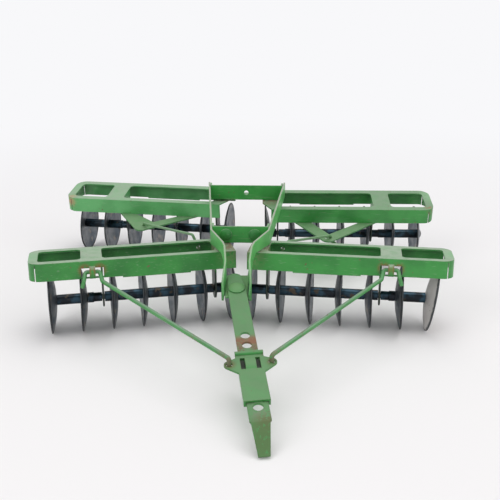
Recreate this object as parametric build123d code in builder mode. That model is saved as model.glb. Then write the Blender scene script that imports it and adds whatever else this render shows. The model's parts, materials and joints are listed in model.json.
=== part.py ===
from build123d import *
import math
import os

os.makedirs("parts", exist_ok=True)

# Pressed-steel toy tandem disc harrow.  +X right, +Y to the rear, +Z up, floor at Z = 0.
# The origin is on the floor, on the centre line, under the middle of the machine's outline.

# ------------------------------------------------------------------ driving dimensions, mm and degrees
# disc gangs
DISC_D = 38.1
DISC_T = 0.9
DISC_DISH = 3.3
DISC_PITCH = 17.2
DISC_COUNT = 7
AXLE_D = 3.2
AXLE_FIT = 0.05
AXLE_HEAD_D = 6.2
AXLE_HEAD_T = 1.8
SPOOL_D = 5.9
COLLAR_D = 5.2
COLLAR_L = 4.5

# gang frames: one stamping each
SHEET = 1.0
FRAME_TOP = 45.0
FRAME_W = 30.0
FRAME_OVERHANG = 10.0
FRAME_INNER = 105.0
WEB_SLANT_W = 10.0
WEB_SLANT_L = 6.5
CORNER_R = 7.0
SLIT_IN = 3.6
SLIT_W = 0.45
WALL_H = 10.1
WALL_BELLY = 0.7
BELLY_FROM = 41.0
BELLY_TO = 79.0
RIM_W = 4.5
OUTER_WINDOW_FROM = -5.0
STRAP_FROM = 18.5
WINDOW_CORNER_R = 2.6
HANGER_OUTER = 29.8
HANGER_INNER = 94.5
HANGER_W = 11.6
HANGER_HOLE_FIT = 0.2
HANGER_GAP = 0.3

# staple pressed out of the far wall of each front frame
STAPLE_S = 24.5
STAPLE_W = 3.2
STAPLE_Z = 38.3
STAPLE_SLOT_W = 4.6
STAPLE_SLOT_H = 5.2
STAPLE_BULGE = 2.9

# centre frame; the half-spacings of the side plates are of their outer faces
FRONT_BAR_Y = 10.9
BAR_SPACING = 89.0
BAR_H = 10.0
BAR_END_FIT = 0.05
FOOT_W = 9.5
FOOT_GAP = 0.35
PLATE_T = 1.2
PLATE_TAIL = 11.0
PLATE_REAR_X = 26.5
PLATE_FRONT_X = 17.5
PLATE_BEND_R = 2.5
PLATE_END_R = 2.0
PLATE_CHEEK_X = 7.2
TAB_L = 6.5
BAR_HOLE_D = 3.0
BAR_RIVET_X = 8.4
BAR_RIVET_HEAD_D = 7.2
BAR_RIVET_HEAD_T = 1.2
BAR_RIVET_SHANK_D = 3.0
BAR_RIVET_TAIL_D = 4.5
RIVET_TAIL_T = 0.8
RIVET_FIT = 0.03

# front run of the side plates in plan: distance ahead of the front crossbar, half-spacing
PLATE_PLAN = (
    (4.0, 17.2),
    (27.0, 8.2),
    (35.0, PLATE_CHEEK_X),
    (46.0, 8.2),
    (52.0, 7.4),
)
# lower and upper edges of the side plates: distance ahead of the front crossbar, height over the frames' tops
PLATE_UNDER = ((-12.0, -0.6), (3.0, 0.4), (12.0, 1.3), (23.0, 1.9))
PLATE_OVER = ((29.0, 7.0), (24.0, 9.2), (0.0, 9.6))
PLATE_REAR_UNDER = -0.8
PLATE_REAR_OVER = 9.1
# nose of the side plates: distance ahead of the main rivet, height over it
PLATE_NOSE = ((-17.7, 8.4), (-4.7, -4.9), (2.3, -6.3), (6.3, -2.2), (3.3, 2.3))

# swing pivots of the gang frames
FRONT_PIVOT_X = 13.0
FRONT_PIVOT_BACK = 5.0
REAR_PIVOT_X = 17.0
REAR_PIVOT_BACK = 3.5
PIVOT_MARGIN = 5.9
PIVOT_D = 2.5
PIVOT_HEAD_D = 5.0
PIVOT_HEAD_T = 1.2
PIVOT_RUN = 0.2

# drawbar
HITCH_REACH = 44.7
HITCH_Z = 34.7
SLOPE = 12.7
SWIVEL = 8.7
DRAWBAR_W = 10.0
DRAWBAR_T = 1.2
DRAWBAR_TAIL = 14.5
DRAWBAR_TAIL_R = 3.8
DRAWBAR_BEND = 102.0
TIP_BEND = 33.5
TIP_SHOULDER = 1.0
TIP_ROOT_W = 8.7
TIP_END_W = 4.6
TIP_LIFT = 0.02
HOLE_D = 4.9
HOLE_FIRST = 40.7
HOLE_PITCH = 7.7
HOLE_FRONT = 92.6
HITCH_RIVET_HEAD_D = 9.0
HITCH_RIVET_HEAD_T = 1.9
HITCH_RIVET_D = 3.6
HITCH_TAIL_D = 5.8
HITCH_FIT = 0.1
SEAT_T = 1.0
SEAT_FRONT = 6.0

# slider
SLIDER_REAR = 55.0
SLIDER_L = 34.5
SLIDER_WALL = 1.0
SLIDER_FIT = 0.2
SLIDER_LIP = 1.7
SHOULDER_L = 15.0
SHOULDER_W = 13.8
RIDGE_R = 1.3
WINDOW_L = 8.0
WINDOW_W = 2.2
TONGUE_W = 5.2
TONGUE_RISE = 1.3
EAR_AT = 63.5
EAR_X = 10.2
EAR_R = 2.6
EAR_ROOT_REAR = 4.6
EAR_ROOT_FRONT = 6.6
EAR_FIT = 0.35
SLIDER_CORNER_R = 1.6

# rods; the hook passes behind the staple: s along the gang, w off the far wall, drop below the staple
ROD_D = 2.3
ROD_EAR_RISE = 2.6
ROD_BEND_R = 1.4
HOOK_LEAD_S = 1.2
HOOK_LEAD_DROP = 4.5
HOOK_OFF = 3.4
HOOK_DEPTH = 0.2
HOOK_LIFT = 0.25
HOOK_TAIL_S = 1.0
HOOK_TAIL_OFF = 3.3
HOOK_TAIL_DROP = 3.6
HOOK_END_S = 2.2
HOOK_END_DROP = 7.4

# wire links: foot under the V-plate, crest ahead of the front frame's near wall, end through that wall
WIRE_D = 1.6
WIRE_BEND_R = 1.3
WIRE_FIT = 0.3
WIRE_FOOT_S = 3.5
WIRE_FOOT_W = 2.0
WIRE_FOOT_DROP = 1.9
WIRE_SHOULDER = 1.4
WIRE_CREST_S = 2.5
WIRE_CREST_OFF = 5.0
WIRE_ENTRY = 2.2
WIRE_END_IN = 3.5
WIRE_HOLE_S = 87.5
WIRE_HOLE_Z = 40.5

# V-plates under the near walls of the rear frames
V_OUTER_FROM = 28.0
V_OUTER_TO = 38.4
V_INNER_FROM = 73.0
V_INNER_TO = 83.5
V_ROOT_IN = 2.0
V_APEX_R = 4.5
V_HOLE_STEP = 2.9
V_HOLE_IN = 1.5
LEFT_V_APEX = (48.0, -41.0)
LEFT_V_NOTCH = (55.0, -26.0)
RIGHT_V_APEX = (63.0, -43.0)
RIGHT_V_NOTCH = (61.0, -31.0)
LEFT_WIRE_CREST_Z = 47.0
RIGHT_WIRE_CREST_Z = 43.6

# distance of each swing pivot off its axle, towards the machine's middle
FRONT_LEFT_REACH = 10.7
FRONT_RIGHT_REACH = 12.6
REAR_LEFT_REACH = 9.0
REAR_RIGHT_REACH = 2.5

# name, side (+1 right), end (+1 rear), swing of the axle, reach of the pivot, tilt of the frame
GANGS = (
    ("front_left", -1, -1, 13.5, FRONT_LEFT_REACH, -4.5),
    ("front_right", 1, -1, -5.7, FRONT_RIGHT_REACH, -5.5),
    ("rear_left", -1, 1, -6.8, REAR_LEFT_REACH, 7.6),
    ("rear_right", 1, 1, 1.0, REAR_RIGHT_REACH, 9.5),
)
FRONT_LEFT, FRONT_RIGHT, REAR_LEFT, REAR_RIGHT = GANGS

# V-plate, its rear gang, its apex and notch, the wire link from it, its front gang, height of the wire's crest
V_PLATES = (
    ("left_v_plate", REAR_LEFT, LEFT_V_APEX, LEFT_V_NOTCH, "left_wire", FRONT_LEFT, LEFT_WIRE_CREST_Z),
    ("right_v_plate", REAR_RIGHT, RIGHT_V_APEX, RIGHT_V_NOTCH, "right_wire", FRONT_RIGHT, RIGHT_WIRE_CREST_Z),
)

# ------------------------------------------------------------------ derived sizes
R = DISC_D / 2
HALF = FRAME_W / 2
DECK = FRAME_TOP - R
WALL_FOOT = DECK - WALL_H
RIM = HALF - RIM_W
HEAD_RIM = 0.35
DISC_HALF = DISC_T / 2
PIVOT_S = FRAME_INNER - PIVOT_MARGIN
REAR_BAR_Y = FRONT_BAR_Y + BAR_SPACING
FRONT_PIVOT_Y = FRONT_BAR_Y + FRONT_PIVOT_BACK
REAR_PIVOT_Y = REAR_BAR_Y + REAR_PIVOT_BACK
PLATE_REAR_Y = REAR_BAR_Y + PLATE_TAIL
PLATE_SLOPE = (PLATE_REAR_X - PLATE_FRONT_X) / (PLATE_REAR_Y - FRONT_BAR_Y)
HITCH_Y = FRONT_BAR_Y - HITCH_REACH


def pivot(side, end):
    """Swing pivot of a gang in plan."""
    if end < 0:
        return side * FRONT_PIVOT_X, FRONT_PIVOT_Y
    return side * REAR_PIVOT_X, REAR_PIVOT_Y


def gang_plane(side, end, swing, reach, tilt=0.0):
    """Plane on the axle at the outer disc: x along the axle to the right, z square to the deck."""
    px, py = pivot(side, end)
    run, rise = math.cos(math.radians(swing)), math.sin(math.radians(swing))
    up, lean = math.cos(math.radians(tilt)), math.sin(math.radians(tilt))
    return Plane(
        origin=(px + side * PIVOT_S * run - end * reach * rise, py + side * PIVOT_S * rise + end * reach * run, R),
        x_dir=(run, rise, 0),
        z_dir=(lean * rise, -lean * run, up),
    )


def deck_height(side, end, swing, reach, tilt):
    """Height of the top of a frame's web at its pivot."""
    lean = math.radians(tilt)
    return R + DECK / math.cos(lean) - end * reach * math.tan(lean)


def cap_rise(r, rim_r, rise):
    """Rise at radius r of a spherical cap with the given rim radius and total rise."""
    ball = (rim_r**2 + rise**2) / (2 * rise)
    return ball - math.sqrt(ball**2 - r**2)


def dish_rise(r):
    """Axial rise of a disc's dish at radius r."""
    return cap_rise(r, R, DISC_DISH)


def dome_arc(apex, inward, head_r, head_t):
    """Arc of a dome head from its apex on the axis to the upper edge of its rim."""
    cap = head_t * (1 - HEAD_RIM)
    ThreePointArc(
        (apex, 0),
        (apex + inward * cap_rise(head_r / 2, head_r, cap), head_r / 2),
        (apex + inward * cap, head_r),
    )


def gang_point(side, end, s, w):
    """Point s from the outer disc towards the inner one, w outward from the axle, in a gang plane."""
    return (-side * s, end * w)


def gang_outline(side, end, points):
    """Closed outline of gang points."""
    return [gang_point(side, end, s, w) for s, w in points]


def gang_space(plane, side, end, s, w, z):
    """Point in space at s and w in a gang plane, z over the axle."""
    x, y = gang_point(side, end, s, w)
    return plane.from_local_coords((x, y, z))


def across(plane, x):
    """Plane square to the axle at x along it: sketch x runs to the rear, sketch y up."""
    return Plane(origin=plane.from_local_coords((x, 0, 0)), x_dir=plane.y_dir, z_dir=plane.x_dir)


def upright_plane(plane):
    """Upright plane that holds the axle: sketch x along the axle, sketch y up."""
    return Plane(origin=plane.origin, x_dir=plane.x_dir, z_dir=plane.x_dir.cross(plane.z_dir))


for name, side, end, swing, reach, tilt in GANGS:
    axle_plane = gang_plane(side, end, swing, reach)
    upright = upright_plane(axle_plane)
    axle_line = Axis(axle_plane.origin, axle_plane.x_dir)
    # the dish of every disc opens away from the machine's middle on a front gang, towards it on a rear one
    hub_shift = -end * DISC_DISH
    disc_at = [i * DISC_PITCH for i in range(DISC_COUNT)]
    axle_r = AXLE_D / 2
    bore_r = axle_r + AXLE_FIT

    # ---- discs: one dished steel disc at each pitch
    with BuildPart() as discs:
        with BuildSketch(upright) as disc_section:
            for s in disc_at:
                hub_x = -side * (s + hub_shift)
                bore_x, mid_x, rim_x = [hub_x - side * end * dish_rise(r) for r in (bore_r, R / 2, R)]
                with BuildLine():
                    ThreePointArc((bore_x - DISC_HALF, bore_r), (mid_x - DISC_HALF, R / 2), (rim_x - DISC_HALF, R))
                    Line((rim_x - DISC_HALF, R), (rim_x + DISC_HALF, R))
                    ThreePointArc((rim_x + DISC_HALF, R), (mid_x + DISC_HALF, R / 2), (bore_x + DISC_HALF, bore_r))
                    Line((bore_x + DISC_HALF, bore_r), (bore_x - DISC_HALF, bore_r))
                make_face()
        revolve(axis=axle_line)
    discs.part.label = name + "_discs"
    export_step(discs.part, "parts/" + name + "_discs.step")

    # ---- axle with a low dome head at both ends
    head_r = AXLE_HEAD_D / 2
    cup = dish_rise(head_r)
    first = hub_shift - DISC_HALF - (cup if end < 0 else 0)
    last = disc_at[-1] + hub_shift + DISC_HALF + (cup if end > 0 else 0)
    with BuildPart() as axle:
        with BuildSketch(upright):
            with BuildLine():
                Line((-side * (first - AXLE_HEAD_T), 0), (-side * (last + AXLE_HEAD_T), 0))
                dome_arc(-side * (last + AXLE_HEAD_T), side, head_r, AXLE_HEAD_T)
                Polyline(
                    (-side * (last + AXLE_HEAD_T * HEAD_RIM), head_r),
                    (-side * last, head_r),
                    (-side * last, axle_r),
                    (-side * first, axle_r),
                    (-side * first, head_r),
                    (-side * (first - AXLE_HEAD_T * HEAD_RIM), head_r),
                )
                dome_arc(-side * (first - AXLE_HEAD_T), -side, head_r, AXLE_HEAD_T)
            make_face()
        revolve(axis=axle_line)
    axle.part.label = name + "_axle"
    export_step(axle.part, "parts/" + name + "_axle.step")

    # ---- spools between the discs; a narrower bare collar sits against the outer face of each hanger
    cup = dish_rise(SPOOL_D / 2)
    spans = []
    for i in range(DISC_COUNT - 1):
        low = disc_at[i] + hub_shift + DISC_HALF + (cup if end > 0 else 0)
        high = disc_at[i + 1] + hub_shift - DISC_HALF - (cup if end < 0 else 0)
        hangers = [h for h in (HANGER_OUTER, HANGER_INNER) if low < h < high]
        if hangers:
            face = hangers[0] - SHEET / 2 - HANGER_GAP
            collar_from = max(low, face - COLLAR_L)
            if collar_from > low:
                spans.append((low, collar_from, SPOOL_D))
            spans.append((collar_from, face, COLLAR_D))
            low = hangers[0] + SHEET / 2 + HANGER_GAP
            if high - low > SHEET:
                spans.append((low, high, SPOOL_D))
        else:
            spans.append((low, high, SPOOL_D))
    with BuildPart() as spools:
        with BuildSketch(upright):
            for low, high, diameter in spans:
                with BuildLine():
                    Polyline(
                        (-side * low, bore_r),
                        (-side * low, diameter / 2),
                        (-side * high, diameter / 2),
                        (-side * high, bore_r),
                        close=True,
                    )
                make_face()
        revolve(axis=axle_line)
    spools.part.label = name + "_spools"
    export_step(spools.part, "parts/" + name + "_spools.step")

    # ---- gang frame
    plane = gang_plane(side, end, swing, reach, tilt)
    # the near wall of a rear frame is straight where the V-plate lies under it
    belly_from = 0 if end > 0 else -HALF - SHEET / 2
    px, py = pivot(side, end)
    outward = Axis(plane.origin, side * plane.x_dir)
    with BuildPart() as frame:
        with BuildSketch(plane.offset(DECK)) as blank:
            with BuildLine():
                Polyline(
                    gang_outline(
                        side,
                        end,
                        (
                            (-FRAME_OVERHANG, HALF),
                            (FRAME_INNER, HALF),
                            (FRAME_INNER, -HALF + WEB_SLANT_W),
                            (FRAME_INNER - WEB_SLANT_L, -HALF),
                            (-FRAME_OVERHANG, -HALF),
                        ),
                    ),
                    close=True,
                )
            make_face()
            fillet(blank.vertices().sort_by(outward)[-2:], radius=CORNER_R)
        extrude(amount=-(WALL_H + WALL_BELLY))
        # hollow below the deck, open at the inner end
        with BuildSketch(plane.offset(DECK - SHEET)) as hollow:
            with Locations(gang_point(side, end, (FRAME_INNER - FRAME_OVERHANG) / 2 + SHEET, 0)):
                Rectangle(FRAME_INNER + FRAME_OVERHANG, FRAME_W - 2 * SHEET)
            fillet(hollow.vertices().sort_by(outward)[-2:], radius=CORNER_R - SHEET)
        extrude(amount=-(WALL_H + WALL_BELLY), mode=Mode.SUBTRACT)
        # lower edge of the walls: deeper along the middle
        with BuildSketch(plane.offset(WALL_FOOT)):
            for s_from, s_to, w_from, w_to in (
                (-FRAME_OVERHANG - SHEET, BELLY_FROM, -HALF - SHEET, HALF + SHEET),
                (BELLY_TO, FRAME_INNER + SHEET, -HALF - SHEET, HALF + SHEET),
                (BELLY_FROM, BELLY_TO, -HALF - SHEET, belly_from),
            ):
                with Locations(gang_point(side, end, (s_from + s_to) / 2, (w_from + w_to) / 2)):
                    Rectangle(s_to - s_from, w_to - w_from)
        extrude(amount=-(WALL_BELLY + SHEET), mode=Mode.SUBTRACT)
        # two windows in the deck, with the strap between them
        with BuildSketch(plane.offset(DECK)) as windows:
            for s_from, s_to in (
                (OUTER_WINDOW_FROM, STRAP_FROM),
                (HANGER_OUTER + SHEET / 2, HANGER_INNER - SHEET / 2),
            ):
                with Locations(gang_point(side, end, (s_from + s_to) / 2, 0)):
                    Rectangle(s_to - s_from, 2 * RIM)
            fillet(windows.vertices(), radius=WINDOW_CORNER_R)
        extrude(amount=-SHEET * 1.5, mode=Mode.SUBTRACT)
        # open slits at the folded outer corners
        with BuildSketch(plane.offset(DECK - SHEET)):
            for w in (HALF, -HALF):
                with Locations(gang_point(side, end, -FRAME_OVERHANG + SLIT_IN, w)):
                    Rectangle(SLIT_W, CORNER_R)
        extrude(amount=-(WALL_H + WALL_BELLY), mode=Mode.SUBTRACT)
        # hangers bent down from the strap and from the web
        for s in (HANGER_OUTER, HANGER_INNER):
            with BuildSketch(across(plane, -side * s)):
                with Locations((0, (DECK - SHEET / 2) / 2)):
                    Rectangle(HANGER_W, DECK - SHEET / 2)
                Circle(HANGER_W / 2)
                Circle(axle_r + HANGER_HOLE_FIT, mode=Mode.SUBTRACT)
            extrude(amount=SHEET / 2, both=True)
        # swing pivot hole, plumb
        with BuildSketch(Plane.XY.offset(FRAME_TOP - WALL_H)):
            with Locations((px, py)):
                Circle(PIVOT_D / 2 + PIVOT_RUN)
        extrude(amount=2 * WALL_H, mode=Mode.SUBTRACT)
        if end < 0:
            # staple: two slots in the far wall, and the strip between them bowed outward
            for step in (-1, 1):
                s = STAPLE_S + step * (STAPLE_W + STAPLE_SLOT_W) / 2
                with BuildSketch(across(plane, -side * s)):
                    with Locations((end * HALF, STAPLE_Z - R)):
                        Rectangle(4 * SHEET, STAPLE_SLOT_H)
                extrude(amount=STAPLE_SLOT_W / 2, both=True, mode=Mode.SUBTRACT)
            with BuildSketch(across(plane, -side * STAPLE_S)):
                with Locations((end * (HALF - SHEET), STAPLE_Z - R)):
                    Rectangle(3 * SHEET, STAPLE_SLOT_H)
            extrude(amount=STAPLE_W / 2, both=True, mode=Mode.SUBTRACT)
            half_h = STAPLE_SLOT_H / 2
            with BuildSketch(across(plane, -side * STAPLE_S)):
                with BuildLine():
                    ThreePointArc(
                        (end * (HALF - SHEET), STAPLE_Z - R + half_h + SHEET),
                        (end * (HALF + STAPLE_BULGE), STAPLE_Z - R),
                        (end * (HALF - SHEET), STAPLE_Z - R - half_h - SHEET),
                    )
                    Line(
                        (end * (HALF - SHEET), STAPLE_Z - R - half_h - SHEET),
                        (end * (HALF - SHEET), STAPLE_Z - R - half_h),
                    )
                    ThreePointArc(
                        (end * (HALF - SHEET), STAPLE_Z - R - half_h),
                        (end * (HALF + STAPLE_BULGE - SHEET), STAPLE_Z - R),
                        (end * (HALF - SHEET), STAPLE_Z - R + half_h),
                    )
                    Line(
                        (end * (HALF - SHEET), STAPLE_Z - R + half_h),
                        (end * (HALF - SHEET), STAPLE_Z - R + half_h + SHEET),
                    )
                make_face()
            extrude(amount=STAPLE_W / 2, both=True)
            # hole for the wire link in the near wall
            with BuildSketch(upright_plane(plane)):
                with Locations((-side * WIRE_HOLE_S, WIRE_HOLE_Z - R)):
                    Circle(WIRE_D / 2 + WIRE_FIT)
            extrude(amount=end * FRAME_W, mode=Mode.SUBTRACT)
    frame.part.label = name + "_frame"
    export_step(frame.part, "parts/" + name + "_frame.step")

# ------------------------------------------------------------------ centre frame
slope = math.radians(SLOPE)
hitch_level = Plane(
    origin=(0, HITCH_Y, HITCH_Z), x_dir=(1, 0, 0), z_dir=(0, -math.sin(slope), math.cos(slope))
)
swivel = math.radians(SWIVEL)
bar_plane = Plane(
    origin=hitch_level.origin,
    x_dir=hitch_level.x_dir * math.cos(swivel) + hitch_level.y_dir * math.sin(swivel),
    z_dir=hitch_level.z_dir,
)

# ---- side plates: strips on edge that pass over the front webs, close in and drop beside the drawbar
for side, name in ((-1, "left_side_plate"), (1, "right_side_plate")):
    with BuildPart() as side_plate:
        with BuildSketch(Plane.XY):
            with BuildLine():
                outer = FilletPolyline(
                    (side * PLATE_REAR_X, PLATE_REAR_Y),
                    (side * PLATE_FRONT_X, FRONT_BAR_Y),
                    *((side * x, FRONT_BAR_Y - ahead) for ahead, x in PLATE_PLAN),
                    radius=PLATE_BEND_R,
                )
                offset(outer, amount=PLATE_T, side=Side.LEFT if side < 0 else Side.RIGHT)
            make_face()
        extrude(amount=2 * FRAME_TOP)
        with BuildSketch(Plane.YZ):
            with BuildLine():
                Polyline(
                    (PLATE_REAR_Y, FRAME_TOP + PLATE_REAR_UNDER),
                    *((FRONT_BAR_Y - ahead, FRAME_TOP + z) for ahead, z in PLATE_UNDER),
                    *((HITCH_Y - ahead, HITCH_Z + z) for ahead, z in PLATE_NOSE),
                    *((FRONT_BAR_Y - ahead, FRAME_TOP + z) for ahead, z in PLATE_OVER),
                    (PLATE_REAR_Y, FRAME_TOP + PLATE_REAR_OVER),
                    close=True,
                )
            make_face()
            fillet(vertices().group_by(Axis.X)[0], radius=PLATE_END_R)
        extrude(amount=2 * PLATE_REAR_X, both=True, mode=Mode.INTERSECT)
    side_plate.part.label = name
    export_step(side_plate.part, "parts/" + name + ".step")


def bar_end_x(y):
    """Half-length of a crossbar at y, just short of the side plates' inner faces."""
    return PLATE_FRONT_X + PLATE_SLOPE * (y - FRONT_BAR_Y) - PLATE_T - BAR_END_FIT


def head_section(head_r, head_t, shank_r, length, tail_r, tail_t):
    """Half outline of a rivet about the y axis: dome head above y = 0, shank and flat tail below."""
    cap = head_t * (1 - HEAD_RIM)
    with BuildLine() as half_outline:
        ThreePointArc(
            (0, head_t),
            (head_r / 2, head_t - cap_rise(head_r / 2, head_r, cap)),
            (head_r, head_t - cap),
        )
        Polyline(
            (head_r, head_t - cap),
            (head_r, 0),
            (shank_r, 0),
            (shank_r, -length),
            (tail_r, -length),
            (tail_r, -length - tail_t),
            (0, -length - tail_t),
            (0, head_t),
        )
    return half_outline.edges()


# ---- crossbars: an upright web between the side plates and a foot flange over the gang frames' webs
web_heights = {-1: [], 1: []}
for name, side, end, swing, reach, tilt in GANGS:
    web_heights[end].append((deck_height(side, end, swing, reach, tilt), math.radians(tilt)))
for end, name, bar_y, pivot_y, pivot_x in (
    (-1, "front_crossbar", FRONT_BAR_Y, FRONT_PIVOT_Y, FRONT_PIVOT_X),
    (1, "rear_crossbar", REAR_BAR_Y, REAR_PIVOT_Y, REAR_PIVOT_X),
):
    foot_z = max(height for height, lean in web_heights[end]) + FOOT_GAP
    lean = sum(lean for height, lean in web_heights[end]) / 2
    half = bar_end_x(bar_y)
    foot_back = bar_y + FOOT_W
    foot_at = [foot_z + math.tan(lean) * (y - pivot_y) for y in (bar_y, foot_back)]
    with BuildPart() as crossbar:
        with BuildSketch(Plane.YZ.offset(-half)):
            with BuildLine():
                Polyline(
                    (bar_y, foot_at[0]),
                    (foot_back, foot_at[1]),
                    (foot_back, foot_at[1] + SHEET),
                    (bar_y + SHEET, foot_at[0] + SHEET * (1 + math.tan(lean))),
                    (bar_y + SHEET, foot_at[0] + BAR_H),
                    (bar_y, foot_at[0] + BAR_H),
                    close=True,
                )
            make_face()
        extrude(amount=2 * half)
        for s in (-1, 1):
            with BuildSketch(Plane.XY.offset(foot_z - SHEET)):
                with Locations((s * pivot_x, pivot_y)):
                    Circle(PIVOT_D / 2 + RIVET_FIT)
            extrude(amount=2.5 * SHEET, mode=Mode.SUBTRACT)
            # end tabs bent back along the side plates
            with BuildSketch(Plane.XY.offset(foot_at[0] + SHEET)):
                with BuildLine():
                    Polyline(
                        (s * half, bar_y),
                        (s * bar_end_x(bar_y + TAB_L), bar_y + TAB_L),
                        (s * (bar_end_x(bar_y + TAB_L) - SHEET), bar_y + TAB_L),
                        (s * (half - SHEET), bar_y),
                        close=True,
                    )
                make_face()
            extrude(amount=BAR_H - SHEET)
        front_face = Plane(origin=(0, bar_y, foot_at[0] + BAR_H / 2), x_dir=(1, 0, 0), z_dir=(0, -1, 0))
        if end < 0:
            with BuildSketch(front_face):
                with Locations((-BAR_RIVET_X, 0), (BAR_RIVET_X, 0)):
                    Circle(BAR_RIVET_SHANK_D / 2 + RIVET_FIT)
            extrude(amount=-SHEET, mode=Mode.SUBTRACT)
        else:
            with BuildSketch(front_face):
                Circle(BAR_HOLE_D / 2)
            extrude(amount=-SHEET, mode=Mode.SUBTRACT)
    crossbar.part.label = name
    export_step(crossbar.part, "parts/" + name + ".step")

    # swing pivot rivets: plumb, from the foot flange down through the gang frames' webs
    for gang, side, gang_end, swing, reach, tilt in GANGS:
        if gang_end != end:
            continue
        web = deck_height(side, end, swing, reach, tilt)
        head_z = foot_z + SHEET + RIVET_FIT + PIVOT_HEAD_D / 2 * abs(math.tan(lean))
        length = head_z - web + SHEET + PIVOT_HEAD_D / 2 * abs(math.tan(math.radians(tilt))) + PIVOT_RUN
        pivot_line = Plane(origin=(side * pivot_x, pivot_y, head_z), x_dir=(1, 0, 0), z_dir=(0, -1, 0))
        with BuildPart() as pivot_rivet:
            with BuildSketch(pivot_line):
                make_face(
                    head_section(
                        PIVOT_HEAD_D / 2, PIVOT_HEAD_T, PIVOT_D / 2, length, PIVOT_HEAD_D / 2, RIVET_TAIL_T
                    )
                )
            revolve(axis=Axis((side * pivot_x, pivot_y, 0), (0, 0, 1)))
        pivot_rivet.part.label = gang + "_pivot_rivet"
        export_step(pivot_rivet.part, "parts/" + gang + "_pivot_rivet.step")

    if end < 0:
        # two dome-headed rivets through the front crossbar
        rivet_z = foot_at[0] + BAR_H / 2
        with BuildPart() as bar_rivets:
            for s in (-1, 1):
                axis_plane = Plane(origin=(s * BAR_RIVET_X, bar_y, rivet_z), x_dir=(-1, 0, 0), z_dir=(0, 0, 1))
                with BuildSketch(axis_plane):
                    make_face(
                        head_section(
                            BAR_RIVET_HEAD_D / 2,
                            BAR_RIVET_HEAD_T,
                            BAR_RIVET_SHANK_D / 2,
                            SHEET,
                            BAR_RIVET_TAIL_D / 2,
                            RIVET_TAIL_T,
                        )
                    )
                revolve(axis=Axis((s * BAR_RIVET_X, bar_y, rivet_z), (0, 1, 0)))
        bar_rivets.part.label = "front_crossbar_rivets"
        export_step(bar_rivets.part, "parts/front_crossbar_rivets.step")

# ---- seat under the drawbar, between the front ends of the side plates
seat_plane = hitch_level.offset(-DRAWBAR_T - HITCH_FIT)
with BuildPart() as pivot_seat:
    with BuildSketch(seat_plane):
        with Locations((0, (DRAWBAR_TAIL - SEAT_FRONT) / 2)):
            Rectangle(2 * (PLATE_CHEEK_X - PLATE_T - BAR_END_FIT), DRAWBAR_TAIL + SEAT_FRONT)
        Circle(HITCH_RIVET_D / 2 + RIVET_FIT, mode=Mode.SUBTRACT)
    extrude(amount=-SEAT_T)
pivot_seat.part.label = "pivot_seat"
export_step(pivot_seat.part, "parts/pivot_seat.step")

# ---- drawbar: flat bar with a rounded tail, a row of latch holes and a down-turned tapered tip
bar_xz = Plane(origin=bar_plane.origin, x_dir=bar_plane.y_dir, z_dir=bar_plane.x_dir)
bend = math.radians(TIP_BEND)
bend_height = HITCH_Z - DRAWBAR_BEND * math.sin(slope)
tip_l = (bend_height - DRAWBAR_T * math.cos(slope) - TIP_LIFT) / math.sin(slope + bend)
with BuildPart() as drawbar:
    with BuildSketch(bar_xz):
        with BuildLine():
            Polyline(
                (DRAWBAR_TAIL, 0),
                (-DRAWBAR_BEND, 0),
                (-DRAWBAR_BEND - tip_l * math.cos(bend), -tip_l * math.sin(bend)),
                (
                    -DRAWBAR_BEND - tip_l * math.cos(bend) + DRAWBAR_T * math.sin(bend),
                    -tip_l * math.sin(bend) - DRAWBAR_T * math.cos(bend),
                ),
                (-DRAWBAR_BEND + DRAWBAR_T * math.tan(bend / 2), -DRAWBAR_T),
                (DRAWBAR_TAIL, -DRAWBAR_T),
                close=True,
            )
        make_face()
    extrude(amount=DRAWBAR_W, both=True)
    with BuildSketch(bar_plane.offset(2 * DRAWBAR_T)):
        with BuildLine():
            Polyline(
                (DRAWBAR_TAIL_R, DRAWBAR_TAIL - DRAWBAR_TAIL_R),
                (DRAWBAR_W / 2, 0),
                (DRAWBAR_W / 2, -DRAWBAR_BEND + TIP_SHOULDER),
                (TIP_ROOT_W / 2, -DRAWBAR_BEND),
                (TIP_END_W / 2, -DRAWBAR_BEND - tip_l),
                (-TIP_END_W / 2, -DRAWBAR_BEND - tip_l),
                (-TIP_ROOT_W / 2, -DRAWBAR_BEND),
                (-DRAWBAR_W / 2, -DRAWBAR_BEND + TIP_SHOULDER),
                (-DRAWBAR_W / 2, 0),
                (-DRAWBAR_TAIL_R, DRAWBAR_TAIL - DRAWBAR_TAIL_R),
                close=True,
            )
        make_face()
        with Locations((0, DRAWBAR_TAIL - DRAWBAR_TAIL_R)):
            Circle(DRAWBAR_TAIL_R)
    extrude(amount=-2 * FRAME_TOP, mode=Mode.INTERSECT)
    with BuildSketch(bar_plane):
        Circle(HITCH_RIVET_D / 2 + HITCH_FIT)
        with Locations(
            (0, -HOLE_FIRST), (0, -HOLE_FIRST - HOLE_PITCH), (0, -HOLE_FIRST - 3 * HOLE_PITCH), (0, -HOLE_FRONT)
        ):
            Circle(HOLE_D / 2)
    extrude(amount=-DRAWBAR_T, mode=Mode.SUBTRACT)
drawbar.part.label = "drawbar"
export_step(drawbar.part, "parts/drawbar.step")

# ---- main rivet of the drawbar
hitch_axis = Plane(origin=hitch_level.offset(HITCH_FIT).origin, x_dir=(1, 0, 0), z_dir=-hitch_level.y_dir)
with BuildPart() as drawbar_rivet:
    with BuildSketch(hitch_axis):
        make_face(
            head_section(
                HITCH_RIVET_HEAD_D / 2,
                HITCH_RIVET_HEAD_T,
                HITCH_RIVET_D / 2,
                DRAWBAR_T + SEAT_T + 2 * HITCH_FIT,
                HITCH_TAIL_D / 2,
                RIVET_TAIL_T,
            )
        )
    revolve(axis=Axis(hitch_axis.origin, hitch_level.z_dir))
drawbar_rivet.part.label = "drawbar_rivet"
export_step(drawbar_rivet.part, "parts/drawbar_rivet.step")

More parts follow.
